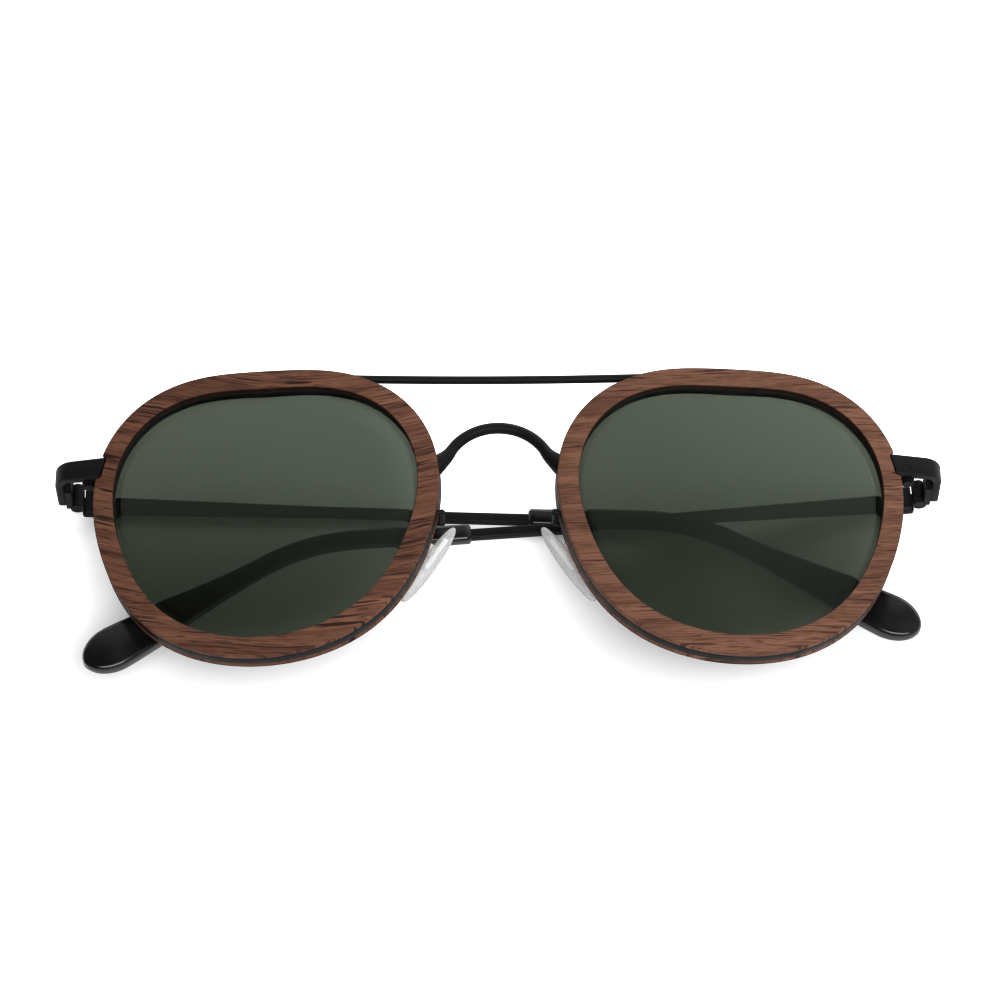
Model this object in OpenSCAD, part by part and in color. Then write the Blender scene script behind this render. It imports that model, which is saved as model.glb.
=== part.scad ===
// Folding sunglasses with walnut-faced rims, lying face up on their folded temples

/* [Eyes] */
// Mean radius of the clear opening in the front ply
opening_r = 24.7; // [22:0.1:27]
// How much wider than tall the opening is, as a change of radius
opening_oval = 0.8; // [0:0.05:1.2]
// How far the widest part of the opening is lifted, as a change of radius
opening_lift = 1.4; // [0.4:0.05:1.6]
// How square the corners of the opening are, as a change of radius
opening_corner = 0.65; // [0:0.05:0.8]
// Gap between the two rings at the nose
nose_gap = 20.3; // [17.8:0.1:26.8]
// Angle that each eye turns back towards the temple
wrap_angle = 5.6; // [3:0.1:8]
// Radius that the front is bent to
front_curve_r = 125; // [110:1:180]
// Width of the wooden ring
ring_w = 3.5; // [3:0.1:4.5]
// Thickness of the front ply
front_ply_t = 1.2; // [0.9:0.1:1.6]
// Thickness of the metal rim
rim_t = 1.6; // [1.5:0.1:2.2]
// Thickness of the back ply
back_ply_t = 1.1; // [0.8:0.1:1.6]

/* [Lenses] */
// Thickness of a lens
lens_t = 1.8; // [1.4:0.1:2]
// Thickness of the bevel on the edge of a lens
bevel_t = 0.6; // [0.4:0.05:0.7]
// How far the bevel reaches into the groove of the rim
bevel_reach = 0.45; // [0.3:0.05:0.8]
// Thickness of the lip in front of the lens
lip_t = 0.55; // [0.4:0.05:0.7]
// Room round the edge of a lens
lens_clear = 0.1; // [0.05:0.01:0.15]

/* [Bridge and top bar] */
// Diameter of the bridge wire
bridge_d = 1.8; // [1.4:0.1:2]
// Diameter that the feet of the bridge grow to
bridge_foot_d = 3; // [2:0.1:3]
// Radius of the arch of the bridge
bridge_arch_r = 9; // [8.5:0.1:9.5]
// Height of the top of the arch above the middle of an eye
bridge_rise = 15.5; // [13:0.1:17]
// Angle of the arch on each side of its top
bridge_arch_angle = 60; // [50:1:64]
// Angle at which a foot leaves the arch, below level
bridge_foot_angle = 44; // [36:1:50]
// Radius of the bend from the arch into a foot
bridge_bend_r = 6; // [4:0.5:9]
// Diameter of the top bar
bar_d = 1.3; // [1:0.1:1.5]
// How far the top bar lies below the top of a rim
bar_below = 1.15; // [1.05:0.05:3.3]
// How far the top bar dips in the middle
bar_dip = 0.4; // [0.3:0.1:0.8]
// How far the top bar runs on along the top of a rim
bar_run = 1.5; // [1:0.1:3]

/* [Endpieces] */
// How far an endpiece stands out past the ring
endpiece_out = 7.5; // [7:0.1:9]
// Height of an endpiece above the middle of an eye
endpiece_rise = 10.4; // [8:0.1:12]
// Height of the strap and of its arm
strap_h = 3.6; // [2.8:0.1:3.6]
// Thickness of the strap and of its arm
strap_t = 1.5; // [1.3:0.1:1.8]
// Angle at which the strap leaves the rim
strap_angle = 12; // [8:1:20]
// Outer radius of the bend from strap to arm
strap_bend_r = 3.6; // [3:0.1:4]
// Distance from the front of the strap's bend to the end of the arm
arm_l = 9.5; // [8:0.1:12]
// Room between a strap and the wood
notch_clear = 0.2; // [0.1:0.05:0.4]
// How far the strap reaches in over the rim
notch_depth = 0.7; // [0.4:0.1:1.2]
// Radius of the rivet through the strap
rivet_r = 0.5; // [0.4:0.05:0.6]
// Radius of the rim lock
lock_r = 1.15; // [1:0.05:1.3]
// How far the rim lock stands out under the strap
lock_drop = 0.4; // [0.3:0.1:1.2]
// Radius of the rim lock's screw
lock_screw_r = 0.45; // [0.35:0.05:0.55]

/* [Hinges] */
// Radius of a hinge knuckle
knuckle_r = 1.1; // [1:0.05:1.2]
// Radius of the hinge screw
hinge_screw_r = 0.5; // [0.4:0.05:0.6]
// Radius of a screw's head
screw_head_r = 0.85; // [0.7:0.05:1]
// Height of a screw's head
screw_head_h = 0.35; // [0.25:0.05:0.5]
// Height of the temple's knuckle
knuckle_h = 1.1; // [0.9:0.05:1.3]
// Height of the three knuckles together
knuckle_stack_h = 4; // [3.2:0.1:4]
// Thickness of a hinge leaf
leaf_t = 1; // [0.8:0.05:1.2]
// Length of a hinge leaf
leaf_l = 5; // [4:0.1:5.2]
// Running room round a screw
screw_clear = 0.03; // [0.02:0.01:0.05]
// Room between the faces of the knuckles
knuckle_gap = 0.06; // [0.04:0.01:0.1]
// Room between the end of the arm and the end of the temple when it is open
butt_gap = 0.15; // [0.1:0.05:0.25]
// Lean of both hinge screws, seen from the front
hinge_lean = 2.1; // [0:0.1:2.4]
// Extra angle by which the right temple is folded, to lie in front of the left one
right_fold = 3.6; // [3.5:0.1:4]

/* [Temples] */
// Length of a temple from its hinge to its end, measured along it
temple_l = 145; // [140:1:150]
// Height of the temple bar at the hinge
bar_h_hinge = 3; // [2.6:0.1:3.2]
// Height of the temple bar where it is slim
bar_h_slim = 1.8; // [1.2:0.1:1.8]
// Thickness of the temple bar
bar_t = 1.3; // [1.1:0.1:1.4]
// Distance from the hinge at which the bar is slim
slim_x = 42; // [30:1:60]
// How far the temple bar lies below the middle of the arm
temple_low = 0.6; // [0:0.1:0.8]
// Angle at which the temples drop
temple_drop = 4.2; // [3:0.1:5]
// Distance from the hinge to the start of the acetate tip
tip_x = 75.5; // [74:0.5:80]
// Length of the core of the bar inside the tip
core_l = 17; // [12:1:19]
// Height of the tip at its collar
tip_h_collar = 3.2; // [2.4:0.1:3.2]
// Height of the tip near its end
tip_h_end = 7.6; // [5:0.1:8]
// Thickness of the tip at its collar
tip_t_collar = 2.1; // [1.9:0.1:2.2]
// Thickness of the tip near its end
tip_t_end = 2.5; // [2.2:0.1:2.8]
// Distance from the hinge to the bend of the tip
tip_bend_x = 94.5; // [93:0.5:100]
// Angle of the bend
tip_bend = 27; // [15:1:32]
// Radius of the bend
tip_bend_r = 34; // [20:1:45]
// Distance from the bend to where the tip starts to widen
tip_grow_x = 16; // [10:1:20]
// Length over which the tip widens
tip_grow_l = 32; // [20:1:36]
// Length of the round end of the tip
tip_end_l = 6; // [3:0.1:6]

/* [Nose pads] */
// Length of a pad
pad_l = 15; // [12:0.5:16]
// Width of a pad
pad_w = 7; // [6:0.1:8]
// Thickness of a pad
pad_t = 2.6; // [2:0.1:2.8]
// Distance from the middle of the frame to the middle of a pad
pad_x = 11.5; // [11.2:0.1:12.5]
// How far the middle of a pad lies below the middle of an eye
pad_low = 7; // [5:0.1:8]
// Distance from the front of an eye back to the middle of a pad
pad_back = 8.4; // [8:0.1:9.5]
// Diameter of the pad arm wire
pad_wire_d = 1; // [0.8:0.05:1.1]
// Radius of the pad screw
pad_screw_r = 0.4; // [0.3:0.05:0.5]

/* [Hidden] */
walnut_left = "#6b4638";
walnut_right = "#855d4c";
black_metal = "#26262a";
acetate = "#17171a";
silicone = "#e6e6e2";
lens_green = "#4f574d";
outline_n = 96;
fine = 360;
round_n = 48;
// How far a cutting solid runs past what it cuts
cut = 2;

// Radius of the clear opening at an angle, counted from the temple side
function opening_at(a) = opening_r + opening_oval * cos(2 * a) + opening_lift * sin(3 * a)
    - opening_corner * cos(4 * a);
// The opening grown by a width all round
function outline(grow, n = outline_n) = [for (i = [0 : n - 1])
    let (a = 360 * i / n, r = opening_at(a) + grow)
    [r * cos(a), r * sin(a)]];
// Depth of the bent front at a distance from the middle of an eye
function sag(u) = front_curve_r - sqrt(front_curve_r * front_curve_r - u * u);
// Place of a point on the bent front, as distance from the middle and depth
function front_x(u, depth) = eye_x + u * cos(wrap_angle) - (sag(u) + depth) * sin(wrap_angle);
function front_d(u, depth) = u * sin(wrap_angle) + (sag(u) + depth) * cos(wrap_angle);
// Angle at which the ring's outer edge is at a height, on the temple side
function edge_angle(h, k = 0, a = 20) =
    k > 12 ? a : edge_angle(h, k + 1, asin(h / (opening_at(a) + ring_w)));

ring_outline = outline(ring_w, fine);
ring_top = max([for (p = ring_outline) p[1]]);
ring_bottom = min([for (p = ring_outline) p[1]]);
ring_reach = max([for (p = ring_outline) norm(p)]);
// Where the ring is nearest the nose, and the place of an eye that leaves the gap there
nasal_u = -opening_at(180) - ring_w;
eye_x = nose_gap / 2 - nasal_u * cos(wrap_angle) + sag(nasal_u) * sin(wrap_angle);
eye_y = -(ring_top + ring_bottom) / 2;
ring_t = front_ply_t + rim_t + back_ply_t;
rim_back = front_ply_t + rim_t;
lens_front = front_ply_t + lip_t;
// Depth of the middle of the rim
wire_depth = front_ply_t + rim_t / 2;

// Where the strap leaves the ring's outer edge
edge_a = edge_angle(endpiece_rise);
edge_u = (opening_at(edge_a) + ring_w) * cos(edge_a);
edge_x = front_x(edge_u, 0);
edge_d = front_d(edge_u, 0);
out_x = edge_x + endpiece_out;
bend_x = out_x - strap_bend_r;
strap_run = (bend_x + strap_bend_r * sin(strap_angle) - edge_x) / cos(strap_angle);
bend_d = edge_d + strap_run * sin(strap_angle) + strap_bend_r * cos(strap_angle);
arm_end_d = bend_d - strap_bend_r + arm_l;
endpiece_y = eye_y + endpiece_rise;

// Hinge axis, with the knuckles let into the leaf on the inside of the arm
knuckle_bite = 0.4;
hinge_inset = 0.5;
leaf_clear = 0.1;
leaf_short = 0.1;
hinge_out = strap_t + leaf_t + knuckle_r - knuckle_bite;
hinge_x = out_x - hinge_out;
hinge_d = arm_end_d - hinge_inset;
hinge_y = endpiece_y - temple_low / 2;
butt_x = hinge_inset + butt_gap;
leaf_in = knuckle_r - knuckle_bite;
screw_bore_r = hinge_screw_r + screw_clear;
// Height of the front of an eye above the table, with the left temple flat on it
front_z = hinge_d + hinge_out;

module left() {
    mirror([1, 0, 0]) children();
}
module eye_frame() {
    translate([eye_x, eye_y, front_z]) rotate([0, wrap_angle, 0]) children();
}

// Plies, rims and lenses: slices of the bent front, with the outline of the opening
module outline_block(grow) {
    translate([0, 0, -sag(ring_reach) - ring_t - 2 * cut])
        linear_extrude(height = sag(ring_reach) + ring_t + 3 * cut) polygon(outline(grow));
}
module bent_slice(grow, d0, d1) {
    intersection() {
        outline_block(grow);
        translate([0, 0, -front_curve_r]) rotate([90, 0, 0]) difference() {
            cylinder(h = 3 * ring_reach, r = front_curve_r - d0, center = true, $fn = fine);
            cylinder(h = 3 * ring_reach + cut, r = front_curve_r - d1, center = true, $fn = fine);
        }
    }
}
module bent_ring(d0, d1) {
    difference() {
        bent_slice(ring_w, d0, d1);
        outline_block(0);
    }
}
module rim_shape() {
    eye_frame() difference() {
        bent_ring(front_ply_t, rim_back);
        bent_slice(bevel_reach + lens_clear, lens_front, lens_front + bevel_t);
    }
}
module rim_block() {
    eye_frame() bent_slice(ring_w, -cut, ring_t + cut);
}
module front_ply_shape() {
    difference() {
        eye_frame() bent_ring(0, front_ply_t);
        strap_end(notch_clear);
    }
}
module back_ply_shape() {
    eye_frame() bent_ring(rim_back, ring_t);
}
module lens_shape() {
    eye_frame() union() {
        bent_slice(-lens_clear, lens_front, lens_front + lens_t);
        bent_slice(bevel_reach, lens_front, lens_front + bevel_t);
    }
}

// Endpiece: a strap that leaves the rim, bends back and becomes an arm, grown by a room
module strap_solid(room) {
    h = strap_h + 2 * room;
    t = strap_t + 2 * room;
    translate([0, endpiece_y, front_z]) rotate([-90, 0, 0]) {
        translate([out_x - strap_t - room, bend_d, -h / 2]) cube([t, arm_end_d - bend_d, h]);
        translate([bend_x, bend_d, 0]) rotate([0, 0, strap_angle]) {
            rotate([0, 0, -90]) rotate_extrude(angle = 90 - strap_angle, $fn = 2 * round_n)
                translate([strap_bend_r - strap_t - room, -h / 2]) square([t, h]);
            translate([-strap_run - ring_w, -strap_bend_r - room, -h / 2]) cube([strap_run + ring_w, t, h]);
        }
    }
}
// The same with its inner end cut to follow the ring
module strap_end(room) {
    difference() {
        strap_solid(room);
        eye_frame() bent_slice(ring_w - notch_depth - room, -cut, ring_t + cut);
    }
}
module on_strap(run) {
    translate([edge_x + run * cos(strap_angle), endpiece_y, front_z - edge_d - run * sin(strap_angle)])
        rotate([0, strap_angle, 0]) children();
}
rivet_run = strap_run / 2;
rivet_proud = 0.08;
module rivet_shape() {
    on_strap(rivet_run) translate([0, 0, -strap_t])
        cylinder(h = strap_t + rivet_proud, r = rivet_r, $fn = round_n);
}
module endpiece_shape() {
    difference() {
        strap_end(0);
        rim_shape();
        on_strap(rivet_run) translate([0, 0, -strap_t - cut])
            cylinder(h = strap_t + 2 * cut, r = rivet_r + screw_clear, $fn = round_n);
    }
}

// Rim lock: a barrel behind the strap, with a screw from below
lock_off = 0.5;
lock_sink = 0.45;
lock_run = lock_r + lock_off;
lock_x = edge_x + lock_run;
lock_d = edge_d + lock_run * tan(strap_angle) + strap_t / cos(strap_angle) + lock_r - lock_sink;
lock_bottom = endpiece_y - strap_h / 2 - lock_drop;
lock_h = strap_h + lock_drop;
module lock_axis() {
    translate([lock_x, lock_bottom, front_z - lock_d]) rotate([-90, 0, 0]) children();
}
module rim_lock_shape() {
    difference() {
        lock_axis() cylinder(h = lock_h, r = lock_r, $fn = round_n);
        strap_solid(0);
        rim_block();
        lock_axis() translate([0, 0, -cut])
            cylinder(h = lock_h + 2 * cut, r = lock_screw_r + screw_clear, $fn = round_n);
    }
}
module lock_screw_shape() {
    lock_axis() union() {
        cylinder(h = lock_h, r = lock_screw_r, $fn = round_n);
        translate([0, 0, -screw_head_h]) cylinder(h = screw_head_h, r = screw_head_r, $fn = round_n);
    }
}

// Hinge: x runs back along the open temple, y along the axis, z outwards
knuckle_half = knuckle_stack_h / 2;
knuckle_inner = knuckle_h / 2 + knuckle_gap;
module hinge_place(lean) {
    translate([hinge_x, hinge_y, front_z - hinge_d]) rotate([0, 0, lean]) children();
}
module along_axis() {
    rotate([-90, 0, 0]) children();
}
module knuckle(y0, y1) {
    translate([0, y0, 0]) along_axis() cylinder(h = y1 - y0, r = knuckle_r, $fn = round_n);
}
module screw_bore() {
    along_axis() cylinder(h = knuckle_stack_h + 2 * cut, r = screw_bore_r, center = true, $fn = round_n);
}
module hinge_front_shape(lean) {
    difference() {
        union() {
            hinge_place(lean) {
                knuckle(knuckle_inner, knuckle_half);
                knuckle(-knuckle_half, -knuckle_inner);
            }
            hinge_place(0) rotate([0, 90, 0]) difference() {
                translate([-leaf_l, leaf_short - knuckle_half, leaf_in])
                    cube([leaf_l, knuckle_stack_h - 2 * leaf_short, leaf_t]);
                translate([-knuckle_r - butt_gap, -knuckle_inner, leaf_in - cut])
                    cube([leaf_l, 2 * knuckle_inner, leaf_t + 2 * cut]);
            }
        }
        hinge_place(lean) screw_bore();
        hinge_place(lean) knuckle(-knuckle_inner, knuckle_inner);
    }
}
module hinge_screw_shape(lean) {
    hinge_place(lean) along_axis() union() {
        translate([0, 0, -knuckle_half]) cylinder(h = knuckle_stack_h, r = hinge_screw_r, $fn = round_n);
        translate([0, 0, knuckle_half]) cylinder(h = screw_head_h, r = screw_head_r, $fn = round_n);
    }
}

// Temple: x runs from the hinge to the tip, y up, z outwards
bar_start_l = 8;
core_t = 0.8;
core_h = 1.1;
bar_in = hinge_out - bar_t;
function temple_y(s) = -temple_low / 2 - s * tan(temple_drop);
// A strip along the temple, from stations and their heights
function temple_strip(s, h) = concat(
    [for (i = [0 : len(s) - 1]) [s[i], temple_y(s[i]) + h[i] / 2]],
    [for (i = [len(s) - 1 : -1 : 0]) [s[i], temple_y(s[i]) - h[i] / 2]]);
module temple_place(lean, fold) {
    hinge_place(lean) rotate([0, 180 + fold, 0]) children();
}
// Bar of the temple with the core that runs on inside the tip
module temple_bar() {
    stations = [butt_x, bar_start_l, slim_x, tip_x];
    heights = [bar_h_hinge, bar_h_hinge, bar_h_slim, bar_h_slim];
    translate([0, 0, bar_in]) {
        linear_extrude(height = bar_t) polygon(temple_strip(stations, heights));
        linear_extrude(height = core_t) polygon(temple_strip([tip_x, tip_x + core_l], [core_h, core_h]));
    }
}
module temple_shape(lean, fold) {
    temple_place(lean, fold) temple_bar();
}
module temple_leaf_shape(lean, fold) {
    plate_x = knuckle_r + butt_gap;
    temple_place(lean, fold) difference() {
        union() {
            knuckle(-knuckle_h / 2, knuckle_h / 2);
            translate([0, -knuckle_h / 2, leaf_in]) cube([leaf_l, knuckle_h, leaf_t - leaf_clear]);
            translate([plate_x, leaf_short - knuckle_half, leaf_in])
                cube([leaf_l - plate_x, knuckle_stack_h - 2 * leaf_short, bar_in - leaf_in]);
        }
        screw_bore();
    }
}

// Acetate tip: rounded sections along a path that bends down, widest near its end
tip_round = 0.6;
tip_corner = 0.6;
tip_lead_l = 0.4;
tip_least = 0.1;
tip_steps = 22;
end_steps = 9;
end_x = temple_l - tip_end_l;
function ease(t) = let (c = min(1, max(0, t))) c * c * (3 - 2 * c);
function tip_turn(s) = min(tip_bend, max(0, (s - tip_bend_x) / tip_bend_r * 180 / PI));
function tip_grow(s) = ease((s - tip_bend_x - tip_grow_x) / tip_grow_l);
function tip_height(s) = tip_h_collar + (tip_h_end - tip_h_collar) * tip_grow(s);
function tip_thick(s) = tip_t_collar + (tip_t_end - tip_t_collar) * tip_grow(s);
function tip_cap(s) = let (t = max(0, (s - end_x) / tip_end_l)) sqrt(max(0, 1 - t * t));
function tip_point(s) =
    let (heading = temple_drop + tip_turn(s),
        arc = tip_bend_r * [sin(heading) - sin(temple_drop), cos(heading) - cos(temple_drop)],
        more = max(0, s - tip_bend_x - tip_bend_r * tip_bend * PI / 180))
    s <= tip_bend_x ? [s, temple_y(s)]
    : [tip_bend_x, temple_y(tip_bend_x)] + arc + more * [cos(heading), -sin(heading)];
// Rectangle with rounded corners, between two faces
function rounded(h, z0, z1, r) = [
    for (c = [[r - h, z0 + r, 180], [h - r, z0 + r, 270], [h - r, z1 - r, 0], [r - h, z1 - r, 90]])
    for (k = [0 : 2])
    [c[0] + r * cos(c[2] + 45 * k), c[1] + r * sin(c[2] + 45 * k)]];
function tip_section(s) =
    let (p = tip_point(s),
        a = temple_drop + tip_turn(s),
        squeeze = max(0, tip_x + tip_lead_l - s) + tip_round * (1 - tip_cap(s)),
        h = max(tip_least, tip_height(s) * tip_cap(s) / 2 - max(0, tip_x + tip_lead_l - s)),
        inner = hinge_out - tip_thick(s) + squeeze,
        section = rounded(h, inner, hinge_out - squeeze, min(tip_round, h * tip_corner)))
    [for (q = section) [p[0] + q[0] * sin(a), p[1] + q[0] * cos(a), q[1]]];
tip_stops = concat(
    [tip_x],
    [for (i = [0 : tip_steps]) tip_x + tip_lead_l + i / tip_steps * (end_x - tip_x - tip_lead_l)],
    [for (i = [1 : end_steps]) end_x + tip_end_l * sin(90 * i / end_steps)]);
// A closed skin over a row of sections that all have as many points
module loft(sections) {
    m = len(sections[0]);
    n = len(sections);
    sides = [for (i = [0 : n - 2]) for (j = [0 : m - 1]) each [
        [i * m + j, (i + 1) * m + j, (i + 1) * m + (j + 1) % m],
        [i * m + j, (i + 1) * m + (j + 1) % m, i * m + (j + 1) % m]]];
    first = [for (j = [0 : m - 1]) j];
    last = [for (j = [m - 1 : -1 : 0]) (n - 1) * m + j];
    polyhedron(points = [for (section = sections) each section], faces = concat([first], [last], sides));
}
module tip_shape(lean, fold) {
    temple_place(lean, fold) difference() {
        loft([for (s = tip_stops) tip_section(s)]);
        temple_bar();
    }
}

// Bridge: an arch, a short bend the other way at each end, and feet that run on into the rims.
// Each stretch starts inside the one before it and is a little thicker.
stretch_lap = 0.5;
stretch_step = 0.12;
bridge_z = front_z - front_d(nasal_u, wire_depth);
bridge_c = eye_y + bridge_rise - bridge_arch_r;
bridge_bend_x = (bridge_arch_r + bridge_bend_r) * sin(bridge_arch_angle);
bridge_bend_y = bridge_c + (bridge_arch_r + bridge_bend_r) * cos(bridge_arch_angle);
bridge_bend_lap = stretch_lap / bridge_bend_r * 180 / PI;
foot_x = bridge_bend_x - bridge_bend_r * sin(bridge_foot_angle);
foot_y = bridge_bend_y - bridge_bend_r * cos(bridge_foot_angle);
foot_l = (front_x(nasal_u, wire_depth) + ring_w - foot_x) / cos(bridge_foot_angle);
module bridge_turn(d, r, start, angle) {
    rotate([0, 0, start]) rotate_extrude(angle = angle, $fn = 2 * round_n)
        translate([r, 0]) circle(d = d, $fn = round_n);
}
module bridge_arch() {
    translate([0, bridge_c, bridge_z])
        bridge_turn(bridge_d, bridge_arch_r, 90 - bridge_arch_angle, 2 * bridge_arch_angle);
}
module bridge_bend() {
    translate([bridge_bend_x, bridge_bend_y, bridge_z])
        bridge_turn(bridge_d + stretch_step, bridge_bend_r, 270 - bridge_arch_angle - bridge_bend_lap,
            bridge_arch_angle - bridge_foot_angle + bridge_bend_lap);
}
module bridge_foot() {
    translate([foot_x, foot_y, bridge_z]) rotate([0, 0, -bridge_foot_angle]) rotate([0, 90, 0])
        translate([0, 0, -stretch_lap])
        cylinder(d1 = bridge_d + 2 * stretch_step, d2 = bridge_foot_d, h = foot_l + stretch_lap, $fn = round_n);
}
module bridge() {
    color(black_metal) difference() {
        union() {
            bridge_arch();
            bridge_bend();
            bridge_foot();
            left() bridge_bend();
            left() bridge_foot();
        }
        rim_block();
        left() rim_block();
    }
}

// Top bar: a shallow arc that dips in the middle and lies against the tops of the rims
bar_rise = ring_top - bar_below;
bar_meet_u = min([for (p = ring_outline) if (p[1] > bar_rise + bar_dip) p[0]]);
bar_half = front_x(bar_meet_u, wire_depth) + bar_run;
bar_r = (bar_half * bar_half + bar_dip * bar_dip) / (2 * bar_dip);
bar_angle = 2 * asin(bar_half / bar_r);
bar_z = front_z - front_d(bar_meet_u, wire_depth);
module top_bar() {
    color(black_metal) difference() {
        translate([0, eye_y + bar_rise + bar_r, bar_z]) rotate([0, 0, -90 - bar_angle / 2])
            rotate_extrude(angle = bar_angle, $fn = 4 * fine)
            translate([bar_r, 0]) circle(d = bar_d, $fn = round_n);
        rim_block();
        left() rim_block();
    }
}

// Nose pad: its own x points at the rim, y along the pad and z along the pad screw
pad_slant = 32;
pad_splay = 17;
pad_rake = 12;
boss_up = 2;
boss_h = 2;
boss_w = 1.6;
boss_end = 0.75;
core_plate_t = 0.8;
core_plate_l = 6;
core_plate_w = 2.8;
box_wall = 0.45;
box_gap = 0.08;
box_back = 1.45;
box_front = 0.85;
box_h = 1.9;
pad_stand = 1.2;
pad_axis_x = pad_t / 2 + pad_stand;
pad_bore_r = pad_screw_r + screw_clear;
pad_head_r = pad_screw_r + 0.3;
pad_pos = [pad_x, eye_y - pad_low, front_z - pad_back];
cheek_z = boss_w / 2 + box_gap;
pad_screw_l = 2 * (cheek_z + box_wall);
module pad_frame() {
    translate(pad_pos) rotate([pad_rake, -pad_splay, pad_slant]) children();
}
module pad_axis() {
    pad_frame() translate([pad_axis_x, boss_up, 0]) children();
}
function turn_x(p, a) = [p[0], p[1] * cos(a) - p[2] * sin(a), p[1] * sin(a) + p[2] * cos(a)];
function turn_y(p, a) = [p[0] * cos(a) + p[2] * sin(a), p[1], -p[0] * sin(a) + p[2] * cos(a)];
function turn_z(p, a) = [p[0] * cos(a) - p[1] * sin(a), p[0] * sin(a) + p[1] * cos(a), p[2]];
function pad_point(p) = pad_pos + turn_z(turn_y(turn_x(p, pad_rake), -pad_splay), pad_slant);

// Pad arm: a wire from the side of the rim, round the back ply, to a box with two cheeks
root_drop = 0.6;
root_gap = 0.2;
back_gap = 0.5;
elbow_out = 3.2;
elbow_up = 0.8;
elbow_back = 1.7;
neck_l = 1.6;
bead_grow = 0.06;
root_x = front_x(nasal_u, wire_depth) - pad_wire_d / 2 - root_gap;
root_y = eye_y - root_drop;
root_z = front_z - front_d(nasal_u, wire_depth);
behind_z = root_z - rim_t / 2 - back_ply_t - pad_wire_d - back_gap;
box_end = pad_axis_x + box_back + box_wall / 2;
pad_path = [
    [root_x + ring_w, root_y, root_z],
    [root_x, root_y, root_z],
    [root_x, root_y, behind_z],
    [root_x + elbow_out, root_y + elbow_up, behind_z - elbow_back],
    pad_point([box_end + neck_l, boss_up + neck_l, 0]),
    pad_point([box_end, boss_up, 0])];
module rod(p, q) {
    v = q - p;
    l = norm(v);
    translate(p) rotate([0, acos(v[2] / l), atan2(v[1], v[0])])
        cylinder(d = pad_wire_d, h = l, $fn = round_n);
}
module box_space() {
    translate([-box_front - cut, -box_h, -cheek_z])
        cube([box_front + box_back + cut, 2 * box_h, 2 * cheek_z]);
}
module pad_arm_shape() {
    difference() {
        union() {
            for (i = [1 : len(pad_path) - 1])
                rod(pad_path[i - 1], pad_path[i]);
            for (i = [1 : len(pad_path) - 2])
                translate(pad_path[i]) sphere(d = pad_wire_d + bead_grow, $fn = round_n);
            pad_axis() translate([-box_front, -box_h / 2, -pad_screw_l / 2])
                cube([box_front + box_back + box_wall, box_h, pad_screw_l]);
        }
        eye_frame() bent_ring(-cut, ring_t);
        pad_axis() box_space();
        pad_axis() cylinder(h = pad_screw_l + 2 * cut, r = pad_bore_r, center = true, $fn = round_n);
    }
}
module pad_screw_shape() {
    pad_axis() translate([0, 0, -pad_screw_l / 2]) union() {
        cylinder(h = pad_screw_l, r = pad_screw_r, $fn = round_n);
        translate([0, 0, pad_screw_l]) cylinder(h = screw_head_h, r = pad_head_r, $fn = round_n);
    }
}
module core_block() {
    translate([0, boss_up, 0]) {
        translate([-core_plate_t / 2, -core_plate_l / 2, -core_plate_w / 2])
            cube([core_plate_t, core_plate_l, core_plate_w]);
        translate([0, -boss_h / 2, -boss_w / 2]) cube([pad_axis_x + boss_end, boss_h, boss_w]);
    }
}
module pad_core_shape() {
    difference() {
        pad_frame() core_block();
        pad_axis() cylinder(h = boss_w + cut, r = pad_bore_r, center = true, $fn = round_n);
    }
}
pad_stations = 15;
pad_sides = 16;
pad_end_angle = 6;
pad_full = 0.42;
pad_taper = 0.12;
// Oval section of a pad at an angle along it, from its top end to its bottom end
function pad_section(t) =
    let (f = pow(sin(t), 2 * pad_full), taper = 1 - pad_taper * cos(t))
    [for (j = [0 : pad_sides - 1]) let (a = 360 * j / pad_sides)
        [pad_t / 2 * f * cos(a), pad_l / 2 * cos(t), pad_w / 2 * f * taper * sin(a)]];
module nose_pad_shape() {
    step = (180 - 2 * pad_end_angle) / (pad_stations - 1);
    pad_frame() difference() {
        loft([for (i = [0 : pad_stations - 1]) pad_section(pad_end_angle + step * i)]);
        core_block();
    }
}

module front_ply_left() { color(walnut_left) left() front_ply_shape(); }
module front_ply_right() { color(walnut_right) front_ply_shape(); }
module rim_left() { color(black_metal) left() rim_shape(); }
module rim_right() { color(black_metal) rim_shape(); }
module back_ply_left() { color(walnut_left) left() back_ply_shape(); }
module back_ply_right() { color(walnut_right) back_ply_shape(); }
module lens_left() { color(lens_green) left() lens_shape(); }
module lens_right() { color(lens_green) lens_shape(); }
module endpiece_left() { color(black_metal) left() endpiece_shape(); }
module endpiece_right() { color(black_metal) endpiece_shape(); }
module rivets() {
    color(black_metal) {
        rivet_shape();
        left() rivet_shape();
    }
}
module rim_lock_left() { color(black_metal) left() rim_lock_shape(); }
module rim_lock_right() { color(black_metal) rim_lock_shape(); }
module lock_screws() {
    color(black_metal) {
        lock_screw_shape();
        left() lock_screw_shape();
    }
}
module hinge_front_left() { color(black_metal) left() hinge_front_shape(-hinge_lean); }
module hinge_front_right() { color(black_metal) hinge_front_shape(hinge_lean); }
module hinge_screws() {
    color(black_metal) {
        hinge_screw_shape(hinge_lean);
        left() hinge_screw_shape(-hinge_lean);
    }
}
module pad_arm_left() { color(black_metal) left() pad_arm_shape(); }
module pad_arm_right() { color(black_metal) pad_arm_shape(); }
module pad_screws() {
    color(black_metal) {
        pad_screw_shape();
        left() pad_screw_shape();
    }
}
module pad_core_left() { color(silicone) left() pad_core_shape(); }
module pad_core_right() { color(silicone) pad_core_shape(); }
module nose_pad_left() { color(silicone) left() nose_pad_shape(); }
module nose_pad_right() { color(silicone) nose_pad_shape(); }
module temple_leaf_left() { color(black_metal) left() temple_leaf_shape(-hinge_lean, 0); }
module temple_leaf_right() { color(black_metal) temple_leaf_shape(hinge_lean, right_fold); }
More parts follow.
